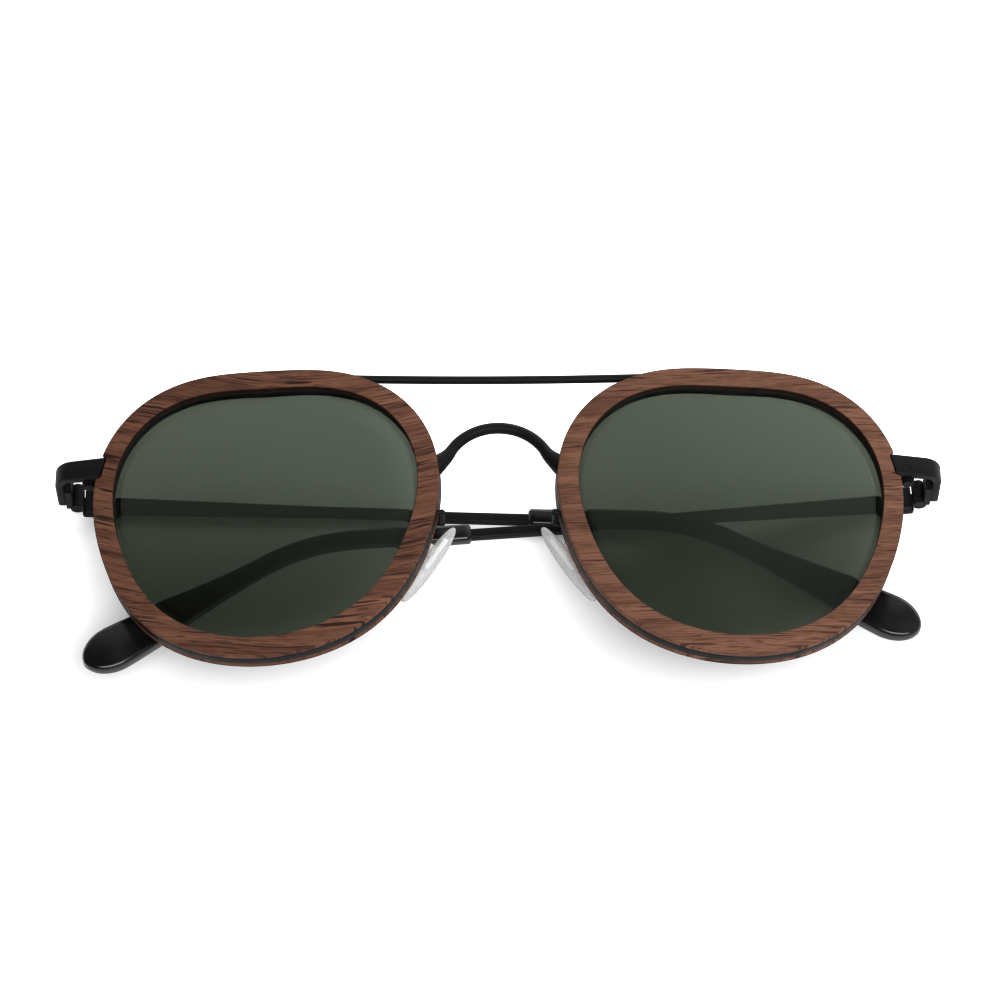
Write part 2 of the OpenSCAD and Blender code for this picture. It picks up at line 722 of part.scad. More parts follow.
module temple_left() { color(black_metal) left() temple_shape(-hinge_lean, 0); }
module temple_right() { color(black_metal) temple_shape(hinge_lean, right_fold); }
module tip_left() { color(acetate) left() tip_shape(-hinge_lean, 0); }
module tip_right() { color(acetate) tip_shape(hinge_lean, right_fold); }

front_ply_left();
front_ply_right();
rim_left();
rim_right();
back_ply_left();
back_ply_right();
lens_left();
lens_right();
bridge();
top_bar();
endpiece_left();
endpiece_right();
rivets();
rim_lock_left();
rim_lock_right();
lock_screws();
hinge_front_left();
hinge_front_right();
hinge_screws();
pad_arm_left();
pad_arm_right();
pad_screws();
pad_core_left();
pad_core_right();
nose_pad_left();
nose_pad_right();
temple_leaf_left();
temple_leaf_right();
temple_left();
temple_right();
tip_left();
tip_right();
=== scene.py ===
# %% [markdown]
# Folding sunglasses: walnut rings on black metal rims, lying face up on their folded temples.
# The imported model is the frame that every new piece is built around, and it loads first.

# %% Load the imported frame
import math

import bpy
import numpy as np
from mathutils import Matrix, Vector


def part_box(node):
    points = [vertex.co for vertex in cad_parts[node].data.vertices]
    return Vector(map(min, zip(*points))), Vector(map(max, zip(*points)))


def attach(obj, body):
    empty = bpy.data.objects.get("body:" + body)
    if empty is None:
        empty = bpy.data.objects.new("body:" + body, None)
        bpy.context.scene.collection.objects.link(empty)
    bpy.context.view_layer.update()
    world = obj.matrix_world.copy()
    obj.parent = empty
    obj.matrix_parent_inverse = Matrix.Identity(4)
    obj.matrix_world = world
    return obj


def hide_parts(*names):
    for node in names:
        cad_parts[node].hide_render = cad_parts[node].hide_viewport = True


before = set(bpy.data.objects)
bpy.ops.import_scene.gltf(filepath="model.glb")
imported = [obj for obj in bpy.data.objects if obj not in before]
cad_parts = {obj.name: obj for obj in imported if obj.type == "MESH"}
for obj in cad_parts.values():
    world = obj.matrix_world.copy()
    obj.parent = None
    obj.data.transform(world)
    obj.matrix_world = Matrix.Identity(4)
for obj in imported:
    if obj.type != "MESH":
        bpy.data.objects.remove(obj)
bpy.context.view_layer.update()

# %% [markdown]
# Spectacle makers draw the eye as one closed curve and everything else follows from it. The same
# drawing is repeated here in millimetres: the opening's outline, the bend of the front, and the
# places of the straps, hinges and pads. A surface built from the same formula as the solid lies
# exactly where the solid lies, so nothing has to be fitted by hand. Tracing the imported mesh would
# also work, but it would bring the solid's facets along.

# %% The drawing: eyes and front
MM = 0.001
OPENING_R, OPENING_OVAL, OPENING_LIFT, OPENING_CORNER = 24.7, 0.8, 1.4, 0.65
RING_W, NOSE_GAP, CURVE_R = 3.5, 20.3, 125.0
WRAP = math.radians(5.6)
FRONT_PLY_T, RIM_T, BACK_PLY_T = 1.2, 1.6, 1.1
RIM_BACK = FRONT_PLY_T + RIM_T
RING_T = RIM_BACK + BACK_PLY_T


def opening_radius(a):
    """r(a) = R + oval cos 2a + lift sin 3a - corner cos 4a.

    That is a mean radius, an oval, a lifted widest place and squared corners."""
    return (OPENING_R + OPENING_OVAL * np.cos(2 * a) + OPENING_LIFT * np.sin(3 * a)
            - OPENING_CORNER * np.cos(4 * a))


def sag(u):
    """R - sqrt(R^2 - u^2): how far the bent front falls back at u from the middle of an eye."""
    return CURVE_R - np.sqrt(CURVE_R ** 2 - u ** 2)


turn = np.linspace(0, 2 * np.pi, 360, endpoint=False)
edge_v = (opening_radius(turn) + RING_W) * np.sin(turn)
RING_TOP = edge_v.max()
EYE_Y = -(edge_v.max() + edge_v.min()) / 2
NASAL_U = -opening_radius(np.pi) - RING_W
EYE_X = NOSE_GAP / 2 - NASAL_U * math.cos(WRAP) + sag(NASAL_U) * math.sin(WRAP)


def front_x(u, depth):
    """Distance from the middle of the frame of a point on the bent front."""
    return EYE_X + u * np.cos(WRAP) - (sag(u) + depth) * np.sin(WRAP)


def front_d(u, depth):
    """Depth behind the front of an eye of a point on the bent front."""
    return u * np.sin(WRAP) + (sag(u) + depth) * np.cos(WRAP)


print("middle of the right eye", round(EYE_X, 3), round(EYE_Y, 3))

# %% The drawing: straps and hinges
STRAP_H, STRAP_T, STRAP_BEND_R, ARM_L = 3.6, 1.5, 3.6, 9.5
STRAP_ANGLE = math.radians(12)
ENDPIECE_RISE, ENDPIECE_OUT, NOTCH_DEPTH, NOTCH_CLEAR = 10.4, 7.5, 0.7, 0.2
HINGE_OUT, HINGE_INSET, TEMPLE_LOW = 3.2, 0.5, 0.6
STRAP_SEARCH = 0.7
edge_line = np.linspace(0, STRAP_SEARCH, 400)
edge_a = np.interp(ENDPIECE_RISE, (opening_radius(edge_line) + RING_W) * np.sin(edge_line), edge_line)
edge_u = (opening_radius(edge_a) + RING_W) * np.cos(edge_a)
EDGE_X, EDGE_D = front_x(edge_u, 0), front_d(edge_u, 0)
OUT_X = EDGE_X + ENDPIECE_OUT
BEND_X = OUT_X - STRAP_BEND_R
STRAP_RUN = (BEND_X + STRAP_BEND_R * math.sin(STRAP_ANGLE) - EDGE_X) / math.cos(STRAP_ANGLE)
BEND_D = EDGE_D + STRAP_RUN * math.sin(STRAP_ANGLE) + STRAP_BEND_R * math.cos(STRAP_ANGLE)
ARM_END_D = BEND_D - STRAP_BEND_R + ARM_L
ENDPIECE_Y = EYE_Y + ENDPIECE_RISE
HINGE_X, HINGE_D = OUT_X - HINGE_OUT, ARM_END_D - HINGE_INSET
HINGE_Y = ENDPIECE_Y - TEMPLE_LOW / 2
FRONT_Z = HINGE_D + HINGE_OUT
print("hinge at", round(HINGE_X, 3), round(HINGE_Y, 3), "front stands", round(FRONT_Z, 3), "above the table")

# %% [markdown]
# Every new piece here is a loop of points carried along a path: a rounded bar round an eye, a wire
# along the bridge, an oval along a nose pad. Curves with a bevel could do some of it, but a grid of
# points lets the section change along the way, and one function turns any such grid into a mesh. It
# works out the enclosed volume and turns all the faces round if that is negative, so the mirrored
# left pieces come out facing outwards too. Numbers can ride on the points: "edge" marks the rounded
# corners, where a finish wears first, and "cut" the inner side of a wooden ring, which is
# painted almost black as painted shade.

# %% From a grid of loops to a mesh
SHARP_ANGLE = math.radians(50)


def skin(name, grid, closed=False, **marks):
    """Mesh over loops grid[station, point]: quads between neighbours, and a face on each open end.

    Each mark is a number per point that a material can read under its name."""
    n, m = grid.shape[:2]
    index = np.arange(n * m).reshape(n, m)
    here, after = (index, np.roll(index, -1, 0)) if closed else (index[:-1], index[1:])
    quads = np.stack([here, after, np.roll(after, -1, 1), np.roll(here, -1, 1)], -1).reshape(-1, 4)
    flat = grid.reshape(-1, 3) * MM
    a, b, c, d = (flat[quads[:, k]] for k in range(4))
    volume = (a * (np.cross(b, c) + np.cross(c, d))).sum()
    faces = quads.tolist()
    if not closed:
        faces += [index[0].tolist(), index[-1][::-1].tolist()]
    if volume < 0:
        faces = [face[::-1] for face in faces]
    mesh = bpy.data.meshes.new(name)
    mesh.from_pydata(flat.tolist(), [], faces)
    mesh.polygons.foreach_set("use_smooth", np.ones(len(mesh.polygons), bool))
    for label, value in marks.items():
        mark = mesh.attributes.new(label, "FLOAT", "POINT")
        mark.data.foreach_set("value", np.broadcast_to(value, (n, m)).astype(np.float32).ravel())
    mesh.set_sharp_from_angle(angle=SHARP_ANGLE)
    mesh.update()
    piece = bpy.data.objects.new(name, mesh)
    bpy.context.scene.collection.objects.link(piece)
    return piece


print("corners sharper than", round(math.degrees(SHARP_ANGLE)), "degrees stay crisp")

# %% A piece on its body


def settle(piece, body, slot, material, *nodes):
    """The piece rides on its body, stands for its CAD nodes and takes its finish."""
    piece.data.materials.append(material)
    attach(piece, body)
    if nodes:
        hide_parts(*nodes)
    print(piece.name, "on", body, "with", len(piece.data.polygons), "faces")


SIDES = {"right": 1.0, "left": -1.0}
print("signs of x on the two sides", SIDES)

# %% [markdown]
# A finish that several materials share is a node group: it is drawn once and placed in each
# material with its own values. A small helper adds a node, links the sockets it is given and sets
# the numbers, so the recipes below stay short enough to read.

# %% Helpers for node recipes


def add(tree, kind, props=None, **inputs):
    """Adds a node; a socket given as input is linked and a number is set. Names use _ for spaces."""
    node = tree.nodes.new(kind)
    for key, value in (props or {}).items():
        setattr(node, key, value)
    for key, value in inputs.items():
        socket = node.inputs[int(key[1:])] if key[1:].isdigit() else node.inputs[key.replace("_", " ")]
        if isinstance(value, bpy.types.NodeSocket):
            tree.links.new(value, socket)
        else:
            socket.default_value = value
    return node


def maths(tree, operation, a, b=0.0, c=0.0):
    """One operation on up to three values, as a socket."""
    return add(tree, "ShaderNodeMath", {"operation": operation}, i0=a, i1=b, i2=c).outputs[0]


print("recipe helpers", add.__name__, maths.__name__)

# %% Helpers for patterns and groups
THROUGH_VENEER = 0.1


def stretched(tree, position, along, across, detail=2.0, roughness=0.55):
    """Noise drawn out along x: so many waves per millimetre along the grain and across it.

    Through the thickness it changes slowly, because a bent veneer keeps its grain along the bend."""
    scaled = add(tree, "ShaderNodeVectorMath", {"operation": "MULTIPLY"}, i0=position,
                 i1=(along, across, THROUGH_VENEER * across)).outputs[0]
    return add(tree, "ShaderNodeTexNoise", Vector=scaled, Scale=1.0, Detail=detail,
               Roughness=roughness).outputs[0]


def between(tree, value, low, high):
    """0 at low, 1 at high, eased between them."""
    node = add(tree, "ShaderNodeMapRange", {"interpolation_type": "SMOOTHSTEP"}, Value=value,
               From_Min=low, From_Max=high)
    return node.outputs[0]


def blend_colour(tree, factor, a, b, kind="MIX"):
    """Mixes two colours by a factor."""
    node = add(tree, "ShaderNodeMix", {"data_type": "RGBA", "blend_type": kind}, i0=factor, i6=a, i7=b)
    return node.outputs[2]


def group(name, inputs, outputs):
    """An empty shader group with named sockets, given as (name, kind, start value)."""
    tree = bpy.data.node_groups.new(name, "ShaderNodeTree")
    for label, kind, value in inputs:
        socket = tree.interface.new_socket(label, in_out="INPUT", socket_type="NodeSocket" + kind)
        if value is not None:
            socket.default_value = value
    for label, kind in outputs:
        tree.interface.new_socket(label, in_out="OUTPUT", socket_type="NodeSocket" + kind)
    start = tree.nodes.new("NodeGroupInput")
    return tree, start.outputs, tree.nodes.new("NodeGroupOutput").inputs


print("grain changes", THROUGH_VENEER, "times as fast through a veneer as across it")

# %% [markdown]
# Walnut has soft brown bands a few millimetres wide, fine fibres, and open pores that show as short
# dark streaks along the grain. A picture of veneer would bring its own size and repeats, so all of it
# is noise drawn out along x instead. A slow wave and a shallow arch bend the lines, as in a board cut
# off the middle of the log. The group works in millimetres, so the streaks have their real size, and
# it also gives the roughness and a height for the bump, in which the pores are pits.

# %% Group: walnut figure
walnut, given, gives = group(
    "walnut_figure",
    [("Position", "Vector", None), ("Light", "Color", (0.2, 0.1, 0.06, 1)),
     ("Dark", "Color", (0.1, 0.05, 0.03, 1)), ("Streak", "Color", (0.02, 0.01, 0.008, 1)),
     ("Boldness", "Float", 0.8), ("Wave", "Float", 8.0), ("Bow", "Float", 0.0), ("Fineness", "Float", 1.0)],
    [("Color", "Color"), ("Roughness", "Float"), ("Height", "Float")])
slow = add(walnut, "ShaderNodeTexNoise", Vector=given["Position"], Scale=0.035, Detail=1.0).outputs[0]
along = add(walnut, "ShaderNodeSeparateXYZ", Vector=given["Position"]).outputs["X"]
arch = maths(walnut, "MULTIPLY", maths(walnut, "MULTIPLY", along, along), given["Bow"])
waved = maths(walnut, "MULTIPLY", maths(walnut, "SUBTRACT", slow, 0.5), given["Wave"])
shift = maths(walnut, "SUBTRACT", waved, arch)
bent = add(walnut, "ShaderNodeVectorMath", {"operation": "ADD"}, i0=given["Position"],
           i1=add(walnut, "ShaderNodeCombineXYZ", Y=shift).outputs[0]).outputs[0]
grain = add(walnut, "ShaderNodeVectorMath", {"operation": "SCALE"}, i0=bent,
            Scale=given["Fineness"]).outputs[0]
bands = between(walnut, stretched(walnut, bent, along=0.02, across=0.45), 0.36, 0.64)
fibres = stretched(walnut, grain, along=0.09, across=5.0, roughness=0.6)
clusters = between(walnut, stretched(walnut, bent, along=0.05, across=0.35, detail=1.0), 0.36, 0.6)
long_pores = between(walnut, stretched(walnut, grain, along=0.11, across=2.9, detail=0.0), 0.59, 0.65)
short_pores = between(walnut, stretched(walnut, grain, along=0.3, across=4.6, detail=0.0), 0.59, 0.68)
pores = maths(walnut, "MAXIMUM", maths(walnut, "MULTIPLY", long_pores, clusters),
              maths(walnut, "MULTIPLY", short_pores, 0.6))
streaks = maths(walnut, "MULTIPLY", pores, given["Boldness"])
tone = blend_colour(walnut, bands, given["Light"], given["Dark"])
shade = add(walnut, "ShaderNodeMapRange", Value=fibres, From_Min=0.3, From_Max=0.7, To_Min=0.7,
            To_Max=1.3).outputs[0]
shaded = blend_colour(walnut, 1.0, tone, add(walnut, "ShaderNodeCombineColor", Red=shade, Green=shade,
                                             Blue=shade).outputs[0], "MULTIPLY")
walnut.links.new(blend_colour(walnut, streaks, shaded, given["Streak"]), gives["Color"])
satin = maths(walnut, "MULTIPLY_ADD", fibres, 0.2, 0.48)
walnut.links.new(maths(walnut, "MULTIPLY_ADD", streaks, 0.15, satin), gives["Roughness"])
walnut.links.new(maths(walnut, "SUBTRACT", maths(walnut, "MULTIPLY", fibres, 0.4), streaks), gives["Height"])
print("walnut figure has", len(walnut.nodes), "nodes")

# %% [markdown]
# Two small effects serve several finishes. Speckle is the fine unevenness of a sprayed coat, a handled
# surface or cloudy silicone. Edge wear is where fingers and cloths have rubbed a corner. Both could be
# painted on a picture, but that needs unwrapped surfaces, so speckle is noise in space, and wear uses
# the "edge" number that the pieces carry, broken up by noise.

# %% Groups: speckle and edge wear
speckle, given, gives = group(
    "speckle", [("Position", "Vector", None), ("Waves per mm", "Float", 5.0)],
    [("Value", "Float"), ("Patches", "Float")])
fine = add(speckle, "ShaderNodeTexNoise", Vector=given["Position"], Scale=given["Waves per mm"], Detail=2.0)
wide = add(speckle, "ShaderNodeTexNoise", Vector=given["Position"], Scale=0.25, Detail=3.0)
speckle.links.new(fine.outputs[0], gives["Value"])
speckle.links.new(between(speckle, wide.outputs[0], 0.35, 0.65), gives["Patches"])

edge_wear, given, gives = group(
    "edge_wear", [("Position", "Vector", None), ("Edge", "Float", 0.0), ("Amount", "Float", 0.5)],
    [("Mask", "Float")])
broken = add(edge_wear, "ShaderNodeTexNoise", Vector=given["Position"], Scale=0.8, Detail=4.0).outputs[0]
worn = between(edge_wear, maths(edge_wear, "ADD", given["Edge"], maths(edge_wear, "SUBTRACT", broken, 0.5)),
               0.55, 1.2)
edge_wear.links.new(maths(edge_wear, "MULTIPLY", worn, given["Amount"]), gives["Mask"])
print("groups", [tree.name for tree in bpy.data.node_groups])

# %% [markdown]
# Each material starts the same way, with Object coordinates turned into millimetres. Generated
# coordinates would stretch with the box of each piece, but Object coordinates keep their size, and a
# mesh at the origin carries its pattern with it wherever the body moves. What is the same all over,
# such as the glass's index, is set on the shader itself.

# %% Materials: a common start


def material(name, tilt=0.0, offset=(0.0, 0.0, 0.0)):
    """A material with its shader and the position in millimetres, turned in the plane of the front."""
    made = bpy.data.materials.new(name)
    made.use_nodes = True
    tree = made.node_tree
    shader = tree.nodes["Principled BSDF"]
    where = add(tree, "ShaderNodeTexCoord").outputs["Object"]
    placed = add(tree, "ShaderNodeMapping", Vector=where, Location=offset,
                 Rotation=(0.0, 0.0, math.radians(tilt)), Scale=(1 / MM, 1 / MM, 1 / MM)).outputs[0]
    return made, tree, shader, placed


def bump(tree, shader, height, strength, distance):
    """Joins a height to the shader's normal."""
    node = add(tree, "ShaderNodeBump", Height=height, Strength=strength, Distance=distance)
    tree.links.new(node.outputs[0], shader.inputs["Normal"])


def place(tree, nodes, **inputs):
    """Puts a shared group into a material."""
    node = add(tree, "ShaderNodeGroup", {"node_tree": nodes}, **inputs)
    return node.outputs


def mark_of(tree, label):
    """A number that the piece carries at its points, such as "edge" on rounded corners."""
    return add(tree, "ShaderNodeAttribute", {"attribute_name": label}).outputs["Fac"]


print("patterns are drawn in units of", MM, "m")

# %% [markdown]
# The two rings come from two boards: the left one is darker with bold streaks, the right one lighter
# and finer. One material could serve both, but then they would match as no real pair does, so each
# board gives the shared figure its own colours and turn. The inner side of a ring is painted almost
# black as painted shade for its inner walls, and the number "cut" says where that is.

# %% Materials: walnut, two boards
WALNUTS = {
    "left": dict(tilt=2.0, offset=(36.0, 4.0, 2.0), light=(0.148, 0.064, 0.037, 1),
                 dark=(0.095, 0.038, 0.022, 1), streak=(0.016, 0.006, 0.005, 1), bold=0.95, wave=5.0,
                 bow=0.007, fine=1.0),
    "right": dict(tilt=-4.0, offset=(-34.0, 9.0, 5.0), light=(0.176, 0.08, 0.049, 1),
                  dark=(0.116, 0.05, 0.03, 1), streak=(0.036, 0.014, 0.01, 1), bold=0.85, wave=4.0,
                  bow=0.002, fine=1.25),
}
# Painted shade: the inner side of each ring is darkened almost to black, standing in for the shade on its
# inner walls.
INNER_SHADE_COLOUR, INNER_SHADE_STRENGTH = (0.006, 0.004, 0.0035, 1), 0.85
wood = {}
for side, board in WALNUTS.items():
    wood[side], tree, shader, position = material("walnut_" + side, board["tilt"], board["offset"])
    figure = place(tree, walnut, Position=position, Light=board["light"], Dark=board["dark"],
                   Streak=board["streak"], Boldness=board["bold"], Wave=board["wave"], Bow=board["bow"],
                   Fineness=board["fine"])
    rubbed = place(tree, edge_wear, Position=position, Edge=mark_of(tree, "edge"), Amount=0.25)["Mask"]
    colour = blend_colour(tree, rubbed, figure["Color"], board["light"])
    # The inner side is painted almost black here: painted shade.
    painted_shade_share = maths(tree, "MULTIPLY", mark_of(tree, "cut"), INNER_SHADE_STRENGTH)
    tree.links.new(blend_colour(tree, painted_shade_share, colour, INNER_SHADE_COLOUR), shader.inputs["Base Color"])
    tree.links.new(figure["Roughness"], shader.inputs["Roughness"])
    bump(tree, shader, figure["Height"], strength=0.5, distance=0.00006)
    shader.inputs["Specular IOR Level"].default_value = 0.1
print("boards", sorted(wood))

# %% [markdown]
# Rims, wires, hinges and bars wear a satin black coat, and the tips are polished black acetate. Both
# are nearly black all over, so what tells them apart is gloss: the coat is rougher and reflects less,
# and it is a little paler where corners are rubbed.

# %% Materials: satin black metal and acetate
metal, tree, shader, position = material("satin_black_metal")
coat = place(tree, speckle, Position=position, Waves_per_mm=6.0)
rubbed = place(tree, edge_wear, Position=position, Edge=mark_of(tree, "edge"), Amount=0.5)["Mask"]
tree.links.new(blend_colour(tree, rubbed, (0.005, 0.005, 0.0055, 1), (0.016, 0.016, 0.017, 1)),
               shader.inputs["Base Color"])
tree.links.new(maths(tree, "MULTIPLY_ADD", coat["Patches"], 0.1, 0.42), shader.inputs["Roughness"])
bump(tree, shader, coat["Value"], strength=0.2, distance=0.00002)
shader.inputs["Specular IOR Level"].default_value = 0.12

acetate, tree, shader, position = material("polished_acetate")
handled = place(tree, speckle, Position=position, Waves_per_mm=1.5)
tree.links.new(blend_colour(tree, handled["Patches"], (0.004, 0.004, 0.0045, 1), (0.007, 0.007, 0.0075, 1)),
               shader.inputs["Base Color"])
tree.links.new(maths(tree, "MULTIPLY_ADD", handled["Patches"], 0.07, 0.12), shader.inputs["Roughness"])
bump(tree, shader, handled["Value"], strength=0.05, distance=0.00003)
shader.inputs["Specular IOR Level"].default_value = 0.5
print("black finishes", metal.name, acetate.name)

# %% [markdown]
# A nose pad is clear silicone round a harder insert. Refracting light through such a thin pad comes
# out dark and grainy, so the pad is see-through by its alpha: thin where it faces the eye, denser
# where the surface turns away, as a clear edge looks. The insert inside is cloudy and pale.

# %% Materials: silicone and insert
silicone, tree, shader, position = material("clear_silicone")
cloudy = place(tree, speckle, Position=position, Waves_per_mm=0.6)
tree.links.new(blend_colour(tree, cloudy["Patches"], (0.93, 0.93, 0.915, 1), (0.98, 0.98, 0.975, 1)),
               shader.inputs["Base Color"])
tree.links.new(maths(tree, "MULTIPLY_ADD", cloudy["Value"], 0.08, 0.12), shader.inputs["Roughness"])
edge_on = add(tree, "ShaderNodeLayerWeight", Blend=0.35).outputs["Facing"]
tree.links.new(maths(tree, "MULTIPLY_ADD", edge_on, 0.5, 0.22), shader.inputs["Alpha"])
shader.inputs["IOR"].default_value = 1.41

insert, tree, shader, position = material("clear_insert")
cloudy = place(tree, speckle, Position=position, Waves_per_mm=2.0)
tree.links.new(blend_colour(tree, cloudy["Patches"], (0.88, 0.88, 0.87, 1), (0.95, 0.95, 0.94, 1)),
               shader.inputs["Base Color"])
tree.links.new(maths(tree, "MULTIPLY_ADD", cloudy["Value"], 0.1, 0.25), shader.inputs["Roughness"])
shader.inputs["Transmission Weight"].default_value = 0.2
print("pad finishes", silicone.name, insert.name)

# %% [markdown]
# The lenses are grey-green glass through which the temples show. A see-through black would be quicker,
# but it would lose the gloss at a slant, so the tint is the colour of light that passes through real
# glass. A faint tint on the reflection keeps its green, and the faces are almost perfectly smooth.

# %% Material: lens glass
glass, tree, shader, position = material("tinted_lens")
smear = place(tree, speckle, Position=position, Waves_per_mm=0.05)
shader.inputs["Base Color"].default_value = (0.141, 0.17, 0.131, 1)
tree.links.new(maths(tree, "MULTIPLY", smear["Value"], 0.004), shader.inputs["Roughness"])
shader.inputs["Transmission Weight"].default_value = 1.0
shader.inputs["IOR"].default_value = 1.5
shader.inputs["Specular Tint"].default_value = (0.88, 1.0, 0.82, 1)
print("materials so far", len(bpy.data.materials))

# %% [markdown]
# The ring round an eye is a sandwich: a walnut ply, a black metal rim and a second walnut ply. Each
# layer is a rounded bar carried round the opening's outline and laid on the bent front. The front
# ply steps back where the strap of the endpiece comes out. Cutting that notch with a boolean would
# leave slivers, so the width is a function of the angle instead, and the stations crowd together at
# the two sides of the notch.

# %% A bar with rounded corners


def rounded_bar(width, height, radius, corner_n=6):
    """Loop of a rectangle with rounded corners; the sizes may be one array per station.

    Each corner is a quarter circle about a centre set in by the radius. Gives the two coordinates
    as [station, point] and how far round a corner each point is."""
    w, h, r = (np.atleast_1d(np.asarray(x, float))[:, None] for x in (width, height, radius))
    quarter = np.linspace(0, np.pi / 2, corner_n)
    starts = np.array([0, 1, 2, 3]) * np.pi / 2
    angle = (starts[:, None] + quarter[None]).ravel()
    side_x = np.repeat([1, -1, -1, 1], corner_n)
    side_y = np.repeat([1, 1, -1, -1], corner_n)
    x = side_x * (w / 2 - r) + r * np.cos(angle)
    y = side_y * (h / 2 - r) + r * np.sin(angle)
    mark = np.tile(np.sin(2 * quarter), 4)
    return x, y, mark


print("points in one loop of a bar", rounded_bar(RING_W, FRONT_PLY_T, 0)[0].shape[1])

# %% A point on the bent front


def on_front(u, v, depth, side):
    """A point of an eye: bent back by z = sqrt((R - depth)^2 - u^2) - R, turned by the wrap and set
    in place."""
    z = np.sqrt((CURVE_R - depth) ** 2 - u ** 2) - CURVE_R
    x = u * math.cos(WRAP) + z * math.sin(WRAP) + EYE_X
    return np.stack([side * x, v + EYE_Y, z * math.cos(WRAP) - u * math.sin(WRAP) + FRONT_Z], -1)


print("middle of an eye on the front", on_front(0.0, 0.0, 0.0, 1.0).round(3))

# %% The notch for the strap
NOTCH_HALF, SOFT_BELOW, SOFT_ABOVE = STRAP_H / 2 + NOTCH_CLEAR, 0.45, 0.2
NOTCH_STEPS = ((ENDPIECE_RISE - NOTCH_HALF, SOFT_BELOW), (ENDPIECE_RISE + NOTCH_HALF, SOFT_ABOVE))


def ease(t):
    """t^2 (3 - 2 t) between 0 and 1: 0 before, 1 after, and smooth at both ends."""
    t = np.clip(t, 0, 1)
    return t * t * (3 - 2 * t)


def notch_share(a):
    """1 where the strap comes out, 0 elsewhere: two eased steps over the height of the edge."""
    v = (opening_radius(a) + RING_W) * np.sin(a)
    rise, fall = (ease((v - at) / (2 * soft) + 0.5) for at, soft in NOTCH_STEPS)
    return np.where(np.cos(a) > 0, rise - fall, 0)


NOTCH_SIDES = ((0.27, 0.34), (0.40, 0.47))
even = np.linspace(0, 2 * np.pi, 420, endpoint=False)
close = np.concatenate([np.linspace(low, high, 40) for low, high in NOTCH_SIDES])
ring_a = np.unique(np.concatenate([even, close]))
print("stations round a ring", len(ring_a))

# %% The ring's layers
SHADE_EDGE_SOFT, FRONT_ROUND, RIM_ROUND, BACK_ROUND = 0.2, 0.2, 0.16, 0.25


def ring_layer(name, side, depth_0, depth_1, radius, notched):
    """Rounded bar round the opening: across from 0 to the ring's width, deep from depth_0 to depth_1.

    The mark "cut" eases from 1 on the inner side to 0 a little further out, as painted shade."""
    width = RING_W - notched * (NOTCH_DEPTH + NOTCH_CLEAR) * notch_share(ring_a)
    across, deep, mark = rounded_bar(width, np.full_like(width, depth_1 - depth_0),
                                     np.full_like(width, radius))
    r = opening_radius(ring_a)[:, None] + across + width[:, None] / 2
    a = ring_a[:, None]
    grid = on_front(r * np.cos(a), r * np.sin(a), deep + (depth_0 + depth_1) / 2, side)
    # Painted shade mask: 1 on the inner side of the ring, easing to 0 a little further out.
    painted_shade_mask = ease((SHADE_EDGE_SOFT - across - width[:, None] / 2) / SHADE_EDGE_SOFT)
    return skin(name, grid, closed=True, edge=mark, cut=painted_shade_mask)


for side, sign in SIDES.items():
    front_ply = ring_layer("walnut_front_" + side, sign, 0, FRONT_PLY_T, FRONT_ROUND, 1)
    settle(front_ply, "front", "walnut_" + side, wood[side], "front_ply_" + side)
    rim = ring_layer("metal_rim_" + side, sign, FRONT_PLY_T, RIM_BACK, RIM_ROUND, 0)
    settle(rim, "front", "black_metal", metal, "rim_" + side)
    back_ply = ring_layer("walnut_back_" + side, sign, RIM_BACK, RING_T, BACK_ROUND, 0)
    settle(back_ply, "front", "walnut_" + side, wood[side], "back_ply_" + side)

# %% [markdown]
# A lens is a bent slice of tinted glass whose edge carries a bevel that sits in the rim's groove. A
# narrow polished facet runs round its front, which shows as a fine line inside the ring. A lens could
# be cut out of a ball, but glass shows every dent, so it is one even skin: outlines that grow from the
# middle of the front face, run over facet, edge and bevel, and shrink to the middle of the back face.

# %% Lenses
LENS_T, LIP_T, BEVEL_T, BEVEL_REACH, GLASS_SINK = 1.8, 0.55, 0.6, 0.45, 0.02
FACET_W, FACET_D, FACET_EASE, FACET_DIP = 0.8, 0.12, 0.03, 0.002
BEVEL_ROUND, BEVEL_STEP, BACK_EDGE_W, BACK_EDGE_D = 0.08, 0.05, 0.12, 0.1
LENS_FRONT, MIDDLE_SHARE = FRONT_PLY_T + LIP_T, 0.02
lens_a = np.linspace(0, 2 * np.pi, 240, endpoint=False)
shares = np.linspace(MIDDLE_SHARE, 1, 26)
edge_grow = np.array([-FACET_W - FACET_EASE, -FACET_W, 0, BEVEL_REACH - BEVEL_ROUND, BEVEL_REACH,
                      BEVEL_REACH, BEVEL_REACH - BEVEL_ROUND, GLASS_SINK, GLASS_SINK,
                      GLASS_SINK - BACK_EDGE_W])
edge_deep = np.array([0, FACET_DIP, FACET_D, FACET_D, FACET_D + BEVEL_ROUND, BEVEL_T - BEVEL_ROUND, BEVEL_T,
                      BEVEL_T + BEVEL_STEP, LENS_T - BACK_EDGE_D, LENS_T])
lens_r = opening_radius(lens_a)
front_r = shares[:-2, None] * lens_r
edge_r = lens_r + edge_grow[:, None]
back_r = shares[-2::-1, None] * lens_r
lens_u = np.concatenate([front_r, edge_r, back_r])
lens_d = LENS_FRONT + np.concatenate([np.zeros(len(front_r)), edge_deep, np.full(len(back_r), LENS_T)])
for side, sign in SIDES.items():
    grid = on_front(lens_u * np.cos(lens_a), lens_u * np.sin(lens_a), lens_d[:, None], sign)
    settle(skin("lens_glass_" + side, grid), "front", "lens", glass, "lens_" + side)

# %% [markdown]
# The bridge and the top bar are bent wires. A wire is a circle carried along a line; the bridge's
# heading turns evenly over the arch, then levels out into the feet, and adding up the small steps
# along the heading gives its line. The feet grow thicker where they are brazed to the rims, which a
# curve with one bevel size could not do as simply.

# %% Wires
FORWARD, END_LEAST = np.array([0.0, 0.0, 1.0]), 0.08


